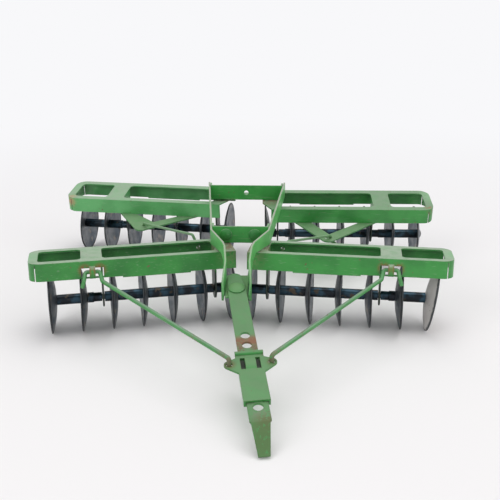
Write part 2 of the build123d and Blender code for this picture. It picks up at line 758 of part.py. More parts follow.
# ---- slider: channel around the drawbar with a raised ridge, two windows with the latch tongue, and two ears
half_in = DRAWBAR_W / 2 + SLIDER_FIT
half_out = half_in + SLIDER_WALL
cover = SLIDER_FIT / 2
ridge_y = -SLIDER_REAR - RIDGE_R
slider_end = Plane(
    origin=bar_plane.from_local_coords((0, -SLIDER_REAR, 0)), x_dir=bar_plane.x_dir, z_dir=-bar_plane.y_dir
)
with BuildPart() as slider:
    with BuildSketch(bar_plane.offset(cover + SLIDER_WALL)):
        with Locations((0, -SLIDER_REAR - SLIDER_L / 2)):
            Rectangle(2 * half_out, SLIDER_L)
        with Locations((0, -SLIDER_REAR - SHOULDER_L / 2)):
            RectangleRounded(SHOULDER_W, SHOULDER_L, SLIDER_CORNER_R)
        # ears: flares that run from the shoulders out to a round end
        for s in (-1, 1):
            with BuildSketch(mode=Mode.PRIVATE) as ear:
                with Locations((s * EAR_X, -EAR_AT)):
                    Circle(EAR_R)
                with BuildLine():
                    Polyline(
                        (0, -EAR_AT + EAR_ROOT_REAR),
                        (s * half_out, -EAR_AT + EAR_ROOT_REAR),
                        (s * half_out, -EAR_AT - EAR_ROOT_FRONT),
                        (0, -EAR_AT - EAR_ROOT_FRONT),
                        close=True,
                    )
                make_face()
                make_hull()
            add(ear.sketch)
    extrude(amount=-SLIDER_WALL)
    # sides folded down past the bar's edges, with lips turned in below it
    with BuildSketch(slider_end):
        with BuildLine():
            Polyline(
                (-half_out, cover + SLIDER_WALL / 2),
                (-half_out, -DRAWBAR_T - cover - SLIDER_WALL),
                (-half_in + SLIDER_LIP, -DRAWBAR_T - cover - SLIDER_WALL),
                (-half_in + SLIDER_LIP, -DRAWBAR_T - cover),
                (-half_in, -DRAWBAR_T - cover),
                (-half_in, cover + SLIDER_WALL / 2),
                close=True,
            )
        make_face()
        mirror(about=Plane.YZ)
    extrude(amount=SLIDER_L)
    # raised ridge across the rear edge
    with BuildSketch(
        Plane(
            origin=bar_plane.from_local_coords((-SHOULDER_W / 2, ridge_y, cover + SLIDER_WALL)),
            x_dir=bar_plane.y_dir,
            z_dir=bar_plane.x_dir,
        )
    ):
        Circle(RIDGE_R)
        with Locations((0, -RIDGE_R)):
            Rectangle(2 * RIDGE_R, 2 * RIDGE_R, mode=Mode.SUBTRACT)
    extrude(amount=SHOULDER_W)
    # windows either side of the latch tongue
    with BuildSketch(bar_plane.offset(cover + 2 * SLIDER_WALL)):
        with Locations(
            (-(TONGUE_W + WINDOW_W) / 2, -EAR_AT), ((TONGUE_W + WINDOW_W) / 2, -EAR_AT)
        ):
            Rectangle(WINDOW_W, WINDOW_L)
    extrude(amount=-2 * SLIDER_WALL, mode=Mode.SUBTRACT)
    # tongue bowed up between the windows
    with BuildSketch(
        Plane(
            origin=bar_plane.from_local_coords((-TONGUE_W / 2, -EAR_AT, cover + SLIDER_WALL)),
            x_dir=bar_plane.y_dir,
            z_dir=bar_plane.x_dir,
        )
    ):
        with BuildLine():
            ThreePointArc((-WINDOW_L / 2, 0), (0, TONGUE_RISE), (WINDOW_L / 2, 0))
            Line((-WINDOW_L / 2, 0), (WINDOW_L / 2, 0))
        make_face()
    extrude(amount=TONGUE_W)
    with BuildSketch(bar_plane.offset(cover + SLIDER_WALL)):
        with Locations((-EAR_X, -EAR_AT), (EAR_X, -EAR_AT)):
            Circle(ROD_D / 2 + EAR_FIT)
    extrude(amount=-2 * SLIDER_WALL, mode=Mode.SUBTRACT)
slider.part.label = "slider"
export_step(slider.part, "parts/slider.step")

# ---- rods from the slider's ears to the staples of the front frames
for name, front in (("left_rod", FRONT_LEFT), ("right_rod", FRONT_RIGHT)):
    gang, side, end, swing, reach, tilt = front
    plane = gang_plane(side, end, swing, reach, tilt)
    ear_top = bar_plane.from_local_coords((side * EAR_X, -EAR_AT, cover + SLIDER_WALL + ROD_D / 2 + ROD_EAR_RISE))
    ear_low = bar_plane.from_local_coords((side * EAR_X, -EAR_AT, cover - SLIDER_WALL))
    staple_rise = STAPLE_Z - R
    slot_far = STAPLE_S + (STAPLE_W + STAPLE_SLOT_W) / 2
    slot_out = STAPLE_S - (STAPLE_W + STAPLE_SLOT_W) / 2
    with BuildPart() as rod:
        with BuildLine():
            FilletPolyline(
                ear_low,
                ear_top,
                *(
                    gang_space(plane, side, end, s, HALF + off, staple_rise + z)
                    for s, off, z in (
                        (slot_far + HOOK_LEAD_S, HOOK_OFF, -HOOK_LEAD_DROP),
                        (slot_far, -HOOK_DEPTH, HOOK_LIFT),
                        (slot_out, -HOOK_DEPTH, HOOK_LIFT),
                        (slot_out - HOOK_TAIL_S, HOOK_TAIL_OFF, -HOOK_TAIL_DROP),
                        (slot_out - HOOK_END_S, HOOK_OFF, -HOOK_END_DROP),
                    )
                ),
                radius=ROD_BEND_R,
            )
        with BuildSketch(Plane(origin=ear_low, z_dir=bar_plane.z_dir)):
            Circle(ROD_D / 2)
        sweep()
    rod.part.label = name
    export_step(rod.part, "parts/" + name + ".step")

# ---- V-plates under the near walls of the rear frames, and the wire links from them to the front frames
for name, rear, apex, notch, link, front, crest_z in V_PLATES:
    gang, side, end, swing, reach, tilt = rear
    plane = gang_plane(side, end, swing, reach, tilt)
    hole_s = (apex[0] + notch[0]) / 2
    hole_w = (apex[1] + notch[1]) / 2 + V_HOLE_IN
    root_w = -HALF + V_ROOT_IN
    with BuildPart() as v_plate:
        with BuildSketch(plane.offset(WALL_FOOT)) as blank:
            with BuildLine():
                Polyline(
                    gang_outline(
                        side,
                        end,
                        (
                            (V_OUTER_FROM, root_w),
                            (V_OUTER_TO, root_w),
                            notch,
                            (V_INNER_FROM, root_w),
                            (V_INNER_TO, root_w),
                            apex,
                        ),
                    ),
                    close=True,
                )
            make_face()
            fillet(blank.vertices().sort_by(Axis.Y)[0], radius=V_APEX_R)
            with Locations(
                gang_point(side, end, hole_s - V_HOLE_STEP / 2, hole_w),
                gang_point(side, end, hole_s + V_HOLE_STEP / 2, hole_w),
            ):
                Circle(WIRE_D / 2 + WIRE_FIT, mode=Mode.SUBTRACT)
        extrude(amount=-SHEET)
    v_plate.part.label = name
    export_step(v_plate.part, "parts/" + name + ".step")

    leg_s = hole_s - V_HOLE_STEP / 2
    under = WALL_FOOT - SHEET - WIRE_FOOT_DROP
    tail = gang_space(plane, side, end, leg_s - WIRE_FOOT_S, hole_w - WIRE_FOOT_W, under)
    knee = gang_space(plane, side, end, leg_s, hole_w, under)
    shoulder = gang_space(plane, side, end, leg_s, hole_w, WALL_FOOT + WIRE_SHOULDER)
    gang, side, end, swing, reach, tilt = front
    plane = gang_plane(side, end, swing, reach, tilt)
    with BuildPart() as wire:
        with BuildLine():
            FilletPolyline(
                tail,
                knee,
                shoulder,
                *(
                    gang_space(plane, side, end, s, -HALF + off, z - R)
                    for s, off, z in (
                        (WIRE_HOLE_S - WIRE_CREST_S, -WIRE_CREST_OFF, crest_z),
                        (WIRE_HOLE_S, -WIRE_ENTRY, WIRE_HOLE_Z),
                        (WIRE_HOLE_S, WIRE_END_IN, WIRE_HOLE_Z),
                    )
                ),
                radius=WIRE_BEND_R,
            )
        with BuildSketch(Plane(origin=tail, z_dir=knee - tail)):
            Circle(WIRE_D / 2)
        sweep()
    wire.part.label = link
    export_step(wire.part, "parts/" + link + ".step")
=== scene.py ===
"""Looks of a pressed-steel toy tandem disc harrow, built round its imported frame.

Lengths are in metres in the frame's own axes: +X right, +Y to the rear, +Z up, floor at Z = 0. A name
that ends in _mm or _deg is in millimetres or degrees.
"""

import json
import logging
import math
from dataclasses import dataclass, field, replace
from enum import Enum
from typing import Any, ClassVar

import bmesh
import bpy
import numpy as np
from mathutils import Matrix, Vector
from numpy.typing import NDArray

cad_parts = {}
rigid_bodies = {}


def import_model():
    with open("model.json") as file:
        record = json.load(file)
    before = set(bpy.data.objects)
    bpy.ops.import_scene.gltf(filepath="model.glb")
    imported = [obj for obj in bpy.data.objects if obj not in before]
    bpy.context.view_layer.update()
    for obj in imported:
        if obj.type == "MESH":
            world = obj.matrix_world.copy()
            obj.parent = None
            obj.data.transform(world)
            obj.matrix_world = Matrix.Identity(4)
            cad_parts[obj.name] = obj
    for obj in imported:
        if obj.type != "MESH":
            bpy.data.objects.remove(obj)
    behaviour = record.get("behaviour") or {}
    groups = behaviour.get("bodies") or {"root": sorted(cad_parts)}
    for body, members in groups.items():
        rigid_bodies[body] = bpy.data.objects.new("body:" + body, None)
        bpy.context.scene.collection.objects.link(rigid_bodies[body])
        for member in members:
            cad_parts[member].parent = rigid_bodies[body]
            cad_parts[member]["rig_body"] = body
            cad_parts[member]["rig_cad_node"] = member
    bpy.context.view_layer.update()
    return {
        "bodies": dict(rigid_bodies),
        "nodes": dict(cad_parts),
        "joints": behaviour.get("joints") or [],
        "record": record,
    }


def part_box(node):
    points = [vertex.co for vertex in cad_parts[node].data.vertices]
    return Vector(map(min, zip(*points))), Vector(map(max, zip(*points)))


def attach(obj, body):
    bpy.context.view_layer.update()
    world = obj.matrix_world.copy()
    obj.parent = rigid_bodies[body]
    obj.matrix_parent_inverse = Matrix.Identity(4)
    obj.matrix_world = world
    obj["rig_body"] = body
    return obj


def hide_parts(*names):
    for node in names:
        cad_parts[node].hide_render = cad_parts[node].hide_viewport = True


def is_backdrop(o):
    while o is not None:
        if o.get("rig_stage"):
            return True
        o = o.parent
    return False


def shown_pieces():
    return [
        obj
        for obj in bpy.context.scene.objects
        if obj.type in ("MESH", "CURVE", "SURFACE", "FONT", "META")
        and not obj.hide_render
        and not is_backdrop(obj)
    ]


Array = NDArray[np.float64]
Point = tuple[float, float, float]
Socket = bpy.types.NodeSocket

MM = 0.001
SAME_POINT = 1e-6  # points of a new surface nearer than this are one
SAME_CORNER = 2e-6  # corners of a CAD mesh nearer than this are one
FLAT_DEG = 0.6  # CAD triangles that turn less than this are joined
SHARP_DEG = 32.0  # edges of a pressing over this angle are shaded sharp
EASED_DEG = 30.0  # edges of a pressing over this angle are bevelled
# cosines of the turn at an edge that just begins to wear, and at one that is fully worn
EDGE_STARTS, EDGE_FULL = 0.985, 0.86
EDGE_SAMPLES = 6
SMOOTH = {"interpolation_type": "SMOOTHSTEP"}  # how every mask goes from none to full
LOG = logging.getLogger("disc_harrow")


class Side(Enum):
    """Left or right half of the machine, seen from the hitch."""

    LEFT = -1
    RIGHT = 1


class End(Enum):
    """Front or rear pair of gangs."""

    FRONT = -1
    REAR = 1


def gang_name(end: End, side: Side) -> str:
    """What the names of one gang's pieces start with, such as front_left."""
    return f"{end.name.lower()}_{side.name.lower()}"


# ------------------------------------------------------------------ colours and nodes


def linear(code: str) -> tuple[float, float, float, float]:
    """Turns an sRGB hex colour to linear.

    Args:
        code: Six hex digits, with or without a leading hash.

    Returns:
        Linear red, green, blue and an alpha of 1.
    """
    digits = code.lstrip("#")
    srgb = np.array([int(digits[i : i + 2], 16) for i in (0, 2, 4)]) / 255.0
    value = np.where(srgb <= 0.04045, srgb / 12.92, ((srgb + 0.055) / 1.055) ** 2.4)
    return (float(value[0]), float(value[1]), float(value[2]), 1.0)


def per(size_mm: float) -> float:
    """Noise scale whose features are about this many millimetres across."""
    return 1.0 / (size_mm * MM)


def add_node(
    tree: bpy.types.NodeTree,
    kind: str,
    inputs: dict[int | str, Any] | None = None,
    out: int | str = 0,
    **settings: Any,
) -> Socket | None:
    """Adds one shader node, sets its properties, and links or sets its inputs.

    Args:
        tree: The node tree of a material or of the world.
        kind: Blender's name for the node, without its ShaderNode prefix.
        inputs: Input name or number to a value, or to the socket that feeds it.
        out: Name or number of the output that is wanted.
        **settings: Properties of the node itself.

    Returns:
        That output's socket, or None where the node ends the tree.
    """
    made = tree.nodes.new(f"ShaderNode{kind}")
    for key, value in settings.items():
        setattr(made, key, value)
    for key, value in (inputs or {}).items():
        socket = made.inputs[key]
        if isinstance(value, bpy.types.NodeSocket):
            tree.links.new(value, socket)
        else:
            socket.default_value = value
    return made.outputs[out] if len(made.outputs) else None


@dataclass(frozen=True)
class Mottle:
    """Patches of random shape and place.

    Attributes:
        size_mm: About how wide a patch is.
        octaves: Steps of finer noise, which fray its outline.
        none_at: Noise value at which a patch starts; the noise runs from about 0.3 to 0.7.
        full_at: Noise value at which it is full.
        least: The mask's value between the patches.
        most: Its value inside them.
        draw: Scale of the place along X, Y and Z; under 1 draws the patches out that way.
    """

    size_mm: float
    octaves: float
    none_at: float
    full_at: float
    least: float = 0.0
    most: float = 1.0
    draw: Point = (1.0, 1.0, 1.0)


@dataclass(frozen=True)
class WearAndShadeSpot:
    """A round mark: mostly rust, dust and rubbing where the paint has gone, and on the drawbar also
    painted shadow.

    Attributes:
        centre_mm: Its middle, in the frame's axes or along the piece that carries it.
        radius_mm: Its reach.
        share: How much of it takes its colour; over 1 leaves no green.
        brown: The colour that shows.
    """

    centre_mm: Point
    radius_mm: float
    share: float
    brown: str

    GRAIN_MM: ClassVar[float] = 1.6
    OCTAVES: ClassVar[float] = 6.0
    FULL_WITHIN: ClassVar[float] = 0.25  # part of the radius that is wholly inside the spot

    def frayed(self) -> Mottle:
        """Its torn outline: the larger the share, the sooner a patch starts."""
        none_at = 0.62 - 0.3 * self.share
        return Mottle(self.GRAIN_MM, self.OCTAVES, none_at, none_at + 0.08)


@dataclass
class Recipe:
    """A material being mixed: its node tree, masks of a real size, and colours laid through them."""

    name: str
    material: bpy.types.Material = field(init=False)
    place: Socket = field(init=False)

    def __post_init__(self) -> None:
        """Makes the empty material with its Object coordinates, which are the frame's own metres."""
        self.material = bpy.data.materials.new(self.name)
        self.material.use_nodes = True
        self.tree.nodes.clear()
        self.place = add_node(self.tree, "TexCoord", out="Object")

    @property
    def tree(self) -> bpy.types.NodeTree:
        """The node tree."""
        return self.material.node_tree

    def patches(self, mottle: Mottle, share: float = 1.0) -> Socket:
        """Mask of a mottle: noise on the place, stepped smoothly from its start to where it is full.

        Args:
            mottle: The patches.
            share: What the whole mask is multiplied by.

        Returns:
            The mask's socket.
        """
        drawn = add_node(self.tree, "Mapping", {0: self.place, "Scale": mottle.draw})
        noise = add_node(
            self.tree,
            "TexNoise",
            {"Vector": drawn, "Scale": per(mottle.size_mm), "Detail": mottle.octaves},
        )
        reach = {"From Min": mottle.none_at, "From Max": mottle.full_at}
        given = {"To Min": share * mottle.least, "To Max": share * mottle.most}
        return add_node(self.tree, "MapRange", {"Value": noise, **reach, **given}, **SMOOTH)

    def upward(self, none_at: float, full_at: float) -> Socket:
        """Mask of the faces that look up, where dust settles.

        Args:
            none_at: Upward part of the normal at which the mask starts.
            full_at: Upward part at which it is full.

        Returns:
            The mask's socket.
        """
        normal = add_node(self.tree, "NewGeometry", out="Normal")
        rise = add_node(self.tree, "SeparateXYZ", {0: normal}, out=2)
        reach = {"From Min": none_at, "From Max": full_at}
        return add_node(self.tree, "MapRange", {"Value": rise, **reach}, **SMOOTH)

    def spot_mask(self, spot: WearAndShadeSpot) -> Socket:
        """Mask of a spot of rust, wear or painted shadow: full near its middle, none at its radius, and
        frayed.

        Args:
            spot: The spot, in the frame's axes.

        Returns:
            The mask's socket.
        """
        centre = tuple(c * MM for c in spot.centre_mm)
        ends = {0: self.place, 1: centre}
        gap = add_node(self.tree, "VectorMath", ends, "Value", operation="DISTANCE")
        radius = spot.radius_mm * MM
        reach = {"From Min": radius, "From Max": spot.FULL_WITHIN * radius}
        disc = add_node(self.tree, "MapRange", {"Value": gap, **reach}, **SMOOTH)
        torn = {0: disc, 1: self.patches(spot.frayed())}
        return add_node(self.tree, "Math", torn, operation="MULTIPLY", use_clamp=True)

    def sheet_edge(self, radius_mm: float) -> tuple[Socket, Socket]:
        """Rounded normal over sharp edges, and a mask of those edges.

        Args:
            radius_mm: Radius that the edge seems to have.

        Returns:
            The rounded normal's socket and the mask's.
        """
        rounded = add_node(self.tree, "Bevel", {"Radius": radius_mm * MM}, samples=EDGE_SAMPLES)
        flat = add_node(self.tree, "NewGeometry", out="Normal")
        same = add_node(self.tree, "VectorMath", {0: rounded, 1: flat}, "Value", operation="DOT_PRODUCT")
        reach = {"From Min": EDGE_STARTS, "From Max": EDGE_FULL}
        return rounded, add_node(self.tree, "MapRange", {"Value": same, **reach}, **SMOOTH)

    def lay(self, ground: str, coats: list[tuple[Socket, str]]) -> Any:
        """Lays colours over one another, each through its own mask.

        Args:
            ground: Hex colour of the lowest.
            coats: Mask and hex colour of each one above it, lowest first.

        Returns:
            The colour's socket.
        """
        colour: Any = linear(ground)
        for mask, hue in coats:
            laid = {0: mask, 6: colour, 7: linear(hue)}
            colour = add_node(self.tree, "Mix", laid, 2, data_type="RGBA")
        return colour

    def finish(
        self,
        colour: Any,
        roughness: Any,
        metallic: Any,
        height: Socket,
        depth_mm: float,
        normal: Socket | None = None,
    ) -> bpy.types.Material:
        """Ends the tree in a Principled surface with a bump.

        Args:
            colour: Base colour socket.
            roughness: Roughness socket or value.
            metallic: Metallic socket or value.
            height: Bump height socket.
            depth_mm: How deep the bump is.
            normal: Normal that the bump starts from, or None for the surface's own.

        Returns:
            The finished material.
        """
        relief: dict[int | str, Any] = {"Height": height, "Distance": depth_mm * MM, "Strength": 1.0}
        if normal is not None:
            relief["Normal"] = normal
        bump = add_node(self.tree, "Bump", relief)
        shine = {"Base Color": colour, "Roughness": roughness, "Metallic": metallic, "Normal": bump}
        add_node(self.tree, "OutputMaterial", {0: add_node(self.tree, "BsdfPrincipled", shine)})
        return self.material


# ------------------------------------------------------------------ finishes


# chips about 1.9 mm across: few on the flat pressings, more on the handled rods and wires
FEW_CHIPS = Mottle(1.9, 5.0, 0.69, 0.72, most=0.9)
MORE_CHIPS = replace(FEW_CHIPS, none_at=0.66, full_at=0.69)


@dataclass(frozen=True)
class ToyEnamel:
    """Stoved alkyd enamel on pressed steel.

    A glossy mid green with an orange-peel skin, dulled to a dusty pale green where it faces up, rubbed
    grey along the sheet edges, a pale line that is partly rubbing and partly a painted highlight on the
    folds, and chipped to brown steel in small spots.
    """

    green: str = "#358b3b"
    shade: str = "#2b7833"
    dust: str = "#a0af9b"
    rubbed: str = "#9dab94"
    chip: str = "#6b5540"
    # near black of the painted shade low on the frames
    shade_black: str = "#1f2424"
    dust_share: float = 0.85
    edge_share: float = 0.85
    chips: Mottle = FEW_CHIPS
    gloss: float = 0.36
    dulled_by: float = 0.35
    edge_r_mm: float = 0.5
    peel_mm: float = 1.1
    peel_depth_mm: float = 0.042
    # height under which a frame is darkened, a painted shade
    shaded_below_mm: float | None = None
    shade_fade_mm: float = 2.5
    shade_black_share: float = 0.93
    name: str = "enamel"
    spots: tuple[WearAndShadeSpot, ...] = ()

    DUST_SLOPE: ClassVar[tuple[float, float]] = (0.55, 0.93)
    BLOTCHES: ClassVar[Mottle] = Mottle(14.0, 4.0, 0.36, 0.66)
    # fine rubbing marks along the sheet, 0.6 mm apart and about 10 mm long
    RUBS: ClassVar[Mottle] = Mottle(0.6, 2.0, 0.60, 0.74, most=0.25, draw=(0.06, 1.0, 1.0))
    SETTLED: ClassVar[Mottle] = Mottle(5.0, 5.0, 0.25, 0.62, least=0.62)
    # pale edges: partly rubbing, partly a painted highlight along the folds
    EDGE_WEAR_AND_HIGHLIGHT: ClassVar[Mottle] = Mottle(3.2, 4.0, 0.30, 0.55)

    def build(self) -> bpy.types.Material:
        """Lays blotches of the shade colour, rubs, dust, rubbed edges that are partly a painted highlight,
        chips, rust, and painted shade low down over the green.

        Returns:
            The material.
        """
        r = Recipe(self.name)
        normal, edge = r.sheet_edge(self.edge_r_mm)
        settled = {0: r.upward(*self.DUST_SLOPE), 1: r.patches(self.SETTLED, self.dust_share)}
        dusty = add_node(r.tree, "Math", settled, operation="MULTIPLY")
        # edges paled through patches: partly rubbing and partly a painted highlight on the folds
        rubbed = {0: edge, 1: r.patches(self.EDGE_WEAR_AND_HIGHLIGHT, self.edge_share)}
        edge_wear_and_highlight = add_node(r.tree, "Math", rubbed, operation="MULTIPLY")
        rust = r.patches(self.chips)
        coats = [
            (r.patches(self.BLOTCHES), self.shade),
            (r.patches(self.RUBS), self.rubbed),
            (dusty, self.dust),
            (edge_wear_and_highlight, self.rubbed),
            (rust, self.chip),
        ]
        # spots of rust and wear, and on the drawbar painted shadow; all of them also dull the gloss and
        # eat the skin
        for spot in self.spots:
            bare = r.spot_mask(spot)
            coats.append((bare, spot.brown))
            rust = add_node(r.tree, "Math", {0: rust, 1: bare}, operation="MAXIMUM")
        if self.shaded_below_mm is not None:
            # painted shade: everything on a frame lower than this is darkened to near black, for the
            # shadow under the frame where the hanger tabs carry the axles
            level = add_node(r.tree, "SeparateXYZ", {0: r.place}, out=2)
            unshaded_mm, black_mm = self.shaded_below_mm, self.shaded_below_mm - self.shade_fade_mm
            reach = {"From Min": unshaded_mm * MM, "From Max": black_mm * MM, "To Max": self.shade_black_share}
            painted_shade = add_node(r.tree, "MapRange", {"Value": level, **reach}, **SMOOTH)
            coats.append((painted_shade, self.shade_black))
        dull = add_node(r.tree, "Math", {0: dusty, 1: rust}, operation="MAXIMUM")
        mixed = {0: dull, 1: self.dulled_by, 2: self.gloss}
        rough = add_node(r.tree, "Math", mixed, operation="MULTIPLY_ADD", use_clamp=True)
        # orange peel, with the rust eaten into it
        skin = {"Vector": r.place, "Scale": per(self.peel_mm), "Detail": 2.0}
        peel = add_node(r.tree, "TexNoise", skin)
        height = add_node(r.tree, "Math", {0: peel, 1: rust}, operation="SUBTRACT")
        return r.finish(r.lay(self.green, coats), rough, 0.0, height, self.peel_depth_mm, normal)


@dataclass(frozen=True)
class DiscSteel:
    """Blued spring steel, stamped and dished.

    Blue-grey with fine turned rings, a darker oxide rim, and warm grey smears where it has been handled;
    metallic with a satin roughness. Past a given distance along a given axis it is painted pale and made
    much less metallic, a painted reflection.
    """

    name: str
    face: str = "#84888c"
    blue: str = "#5a646e"
    warm: str = "#948d86"
    rim: str = "#3c3f42"
    brown: str = "#6a5140"
    # pale colour of the painted reflection
    reflection_pale: str = "#d2cdc9"
    metal: float = 0.8
    rust_metal: float = 0.3
    rust_dulls_by: float = 0.25
    ring_share: float = 0.25
    rim_wander: float = 0.12
    wander_mm: float = 3.0
    grain_mm: float = 0.7
    relief_mm: float = 0.03
    reflection_share: float = 0.85
    reflection_axis: Point | None = None
    reflection_from_mm: float = 0.0

    RINGS: ClassVar[float] = 55.0  # turned rings from hub to rim, so about 0.35 mm apart
    RING_STARTS, RING_FULL = 0.35, 0.65  # noise values
    RIM_STARTS, RIM_FULL = 0.97, 1.03  # radius share with the wander added
    RING_CUT, GRAIN_CUT = 0.3, 0.4  # parts of the relief
    BLUED: ClassVar[Mottle] = Mottle(9.0, 4.0, 0.38, 0.64)
    SMEARS: ClassVar[Mottle] = Mottle(6.0, 5.0, 0.54, 0.72)
    RUST: ClassVar[Mottle] = Mottle(2.2, 5.0, 0.68, 0.72)
    SATIN: ClassVar[Mottle] = Mottle(4.0, 4.0, 0.3, 0.7, least=0.36, most=0.52)

    def build(self) -> bpy.types.Material:
        """Lays bluing, rings, smears, a painted reflection at the outer end, the rim and rust over the
        bare face.

        The disc's own UV map holds its turn and its share of the radius.

        Returns:
            The material.
        """
        r = Recipe(self.name)
        uv = add_node(r.tree, "TexCoord", out="UV")
        radius = add_node(r.tree, "SeparateXYZ", {0: uv}, out=1)
        lathe = {"W": radius, "Scale": self.RINGS, "Detail": 3.0}
        grooves = add_node(r.tree, "TexNoise", lathe, noise_dimensions="1D")
        reach = {"From Min": self.RING_STARTS, "From Max": self.RING_FULL}
        ring = add_node(r.tree, "MapRange", {"Value": grooves, **reach}, **SMOOTH)
        faint = add_node(r.tree, "Math", {0: ring, 1: self.ring_share}, operation="MULTIPLY")
        coats = [
            (r.patches(self.BLUED), self.blue),
            (faint, self.rim),
            (r.patches(self.SMEARS), self.warm),
        ]
        metal: Any = self.metal
        # painted reflection: past the start along the axis the disc is painted pale and made much less
        # metallic
        if self.reflection_axis:
            ends = {0: r.place, 1: self.reflection_axis}
            along = add_node(r.tree, "VectorMath", ends, "Value", operation="DOT_PRODUCT")
            start = self.reflection_from_mm * MM
            reach = {"From Min": start, "From Max": start + MM, "To Max": self.reflection_share}
            outer = add_node(r.tree, "MapRange", {"Value": along, **reach}, **SMOOTH)
            coats.append((outer, self.reflection_pale))
            metal = add_node(r.tree, "Math", {0: outer, 1: -metal, 2: metal}, operation="MULTIPLY_ADD")
        loose = {"Vector": r.place, "Scale": per(self.wander_mm), "Detail": 3.0}
        wander = add_node(r.tree, "TexNoise", loose)
        drift = {0: wander, 1: self.rim_wander, 2: radius}
        line = add_node(r.tree, "Math", drift, operation="MULTIPLY_ADD")
        reach = {"From Min": self.RIM_STARTS, "From Max": self.RIM_FULL}
        rim = add_node(r.tree, "MapRange", {"Value": line, **reach}, **SMOOTH)
        rust = r.patches(self.RUST)
        coats += [(rim, self.rim), (rust, self.brown)]
        dulled = {0: rust, 1: self.rust_dulls_by, 2: r.patches(self.SATIN)}
        rough = add_node(r.tree, "Math", dulled, operation="MULTIPLY_ADD")
        eaten = {0: rust, 1: self.rust_metal - self.metal, 2: metal}
        metal = add_node(r.tree, "Math", eaten, operation="MULTIPLY_ADD", use_clamp=True)
        fine = {"Vector": r.place, "Scale": per(self.grain_mm), "Detail": 2.0}
        grain = add_node(r.tree, "TexNoise", fine)
        cut = add_node(r.tree, "Math", {0: ring, 1: self.RING_CUT}, operation="MULTIPLY")
        relief = {0: grain, 1: self.GRAIN_CUT, 2: cut}
        height = add_node(r.tree, "Math", relief, operation="MULTIPLY_ADD")
        return r.finish(r.lay(self.face, coats), rough, metal, height, self.relief_mm)


@dataclass(frozen=True)
class BluedTube:
    """Gun-blued steel sleeve or shaft: near black with a blue sheen, brown where it is rubbed through."""

    name: str
    black: str = "#191f26"
    blue: str = "#304a59"
    brown: str = "#54483a"
    gloss: float = 0.30
    rubbed_dulls_by: float = 0.3
    metal: float = 0.7
    rubbed_metal: float = 0.2
    grain_mm: float = 0.9
    grain_depth_mm: float = 0.04

    SHEEN: ClassVar[Mottle] = Mottle(7.0, 3.0, 0.4, 0.62)
    RUBBED: ClassVar[Mottle] = Mottle(5.5, 5.0, 0.60, 0.68)

    def build(self) -> bpy.types.Material:
        """Lays the sheen and the rubbed patches over the black.

        Returns:
            The material.
        """
        r = Recipe(self.name)
        patch = r.patches(self.RUBBED)
        colour = r.lay(self.black, [(r.patches(self.SHEEN), self.blue), (patch, self.brown)])
        dulled = {0: patch, 1: self.rubbed_dulls_by, 2: self.gloss}
        rough = add_node(r.tree, "Math", dulled, operation="MULTIPLY_ADD")
        spot_mask = {0: patch, 1: self.rubbed_metal - self.metal, 2: self.metal}
        metal = add_node(r.tree, "Math", spot_mask, operation="MULTIPLY_ADD")
        drawn = {"Vector": r.place, "Scale": per(self.grain_mm), "Detail": 3.0}
        grain = add_node(r.tree, "TexNoise", drawn)
        return r.finish(colour, rough, metal, grain, self.grain_depth_mm)


class Paint(Enum):
    """Enamel of each kind of painted piece, named as the names of its nodes end; several greens are
    lightened for how brightly the piece is lit, painted light.
    """

    # the gang frames carry painted shade below the given height
    FRONT_LEFT_FRAME = ToyEnamel(shaded_below_mm=32.0)
    # painted light: the front right, rear left and rear right frames are the front left's green lightened
    # by how brightly each is lit, the rear left most
    FRONT_RIGHT_FRAME = ToyEnamel("#3a9341", "#308138", shaded_below_mm=32.0)
    REAR_LEFT_FRAME = ToyEnamel("#60af69", "#529f5b", "#93a68f", shaded_below_mm=31.0)
    REAR_RIGHT_FRAME = ToyEnamel("#3f9746", "#35843d", "#7f957b", shaded_below_mm=31.0)
    DRAWBAR = ToyEnamel("#3f8f45", "#35803c", "#60835b", "#64664a", edge_share=1.0)
    SLIDER = ToyEnamel("#3f8f45", "#35803c", "#62875d", "#6f7558")
    # painted light: the crossbars are lightened by how brightly each is lit, the front one most
    FRONT_CROSSBAR = ToyEnamel("#4aa652", "#3f9648", "#88a083")
    REAR_CROSSBAR = ToyEnamel("#3c9643", "#33883b", "#88a083")
    # painted highlight: the side plates are painted a much paler green for the light that falls on them
    SIDE_PLATE = ToyEnamel("#69bf6a", "#5cb05f", "#a3a398", "#a3a398", dust_share=1.0, edge_share=1.0)
    V_PLATE = ToyEnamel("#3f8a45", "#34793b", "#74936d")
    ROD = ToyEnamel("#4b9451", "#3f8546", "#78907a", "#a9b0a0", chips=MORE_CHIPS)
    WIRE = ToyEnamel("#63935f", "#547f52", "#86a182", "#7d7355", chips=MORE_CHIPS)
    FITTING = ToyEnamel("#3f8f45", "#358040", "#638a58")


# ------------------------------------------------------------------ surfaces


@dataclass
class Surface:
    """A grid of points, closed or open each way.

    Attributes:
        points: Rows by columns by 3, in metres.
        close_rows: Whether the last row joins the first.
        close_columns: Whether the last column joins the first.
        uv: Rows by columns by 2, or None.
    """

    points: Array
    close_rows: bool = False
    close_columns: bool = False
    uv: Array | None = None

    def quads(self) -> NDArray[np.int64]:
        """Joins each point to the next one along its row and its column, as whole arrays.

        Returns:
            Corner numbers of every quad, n by 4.
        """
        rows, columns = self.points.shape[:2]
        i = np.arange(rows if self.close_rows else rows - 1)
        j = np.arange(columns if self.close_columns else columns - 1)
        a, b = np.meshgrid(i, j, indexing="ij")
        a2, b2 = (a + 1) % rows, (b + 1) % columns
        corners = [a * columns + b, a2 * columns + b, a2 * columns + b2, a * columns + b2]
        return np.stack(corners, -1).reshape(-1, 4)


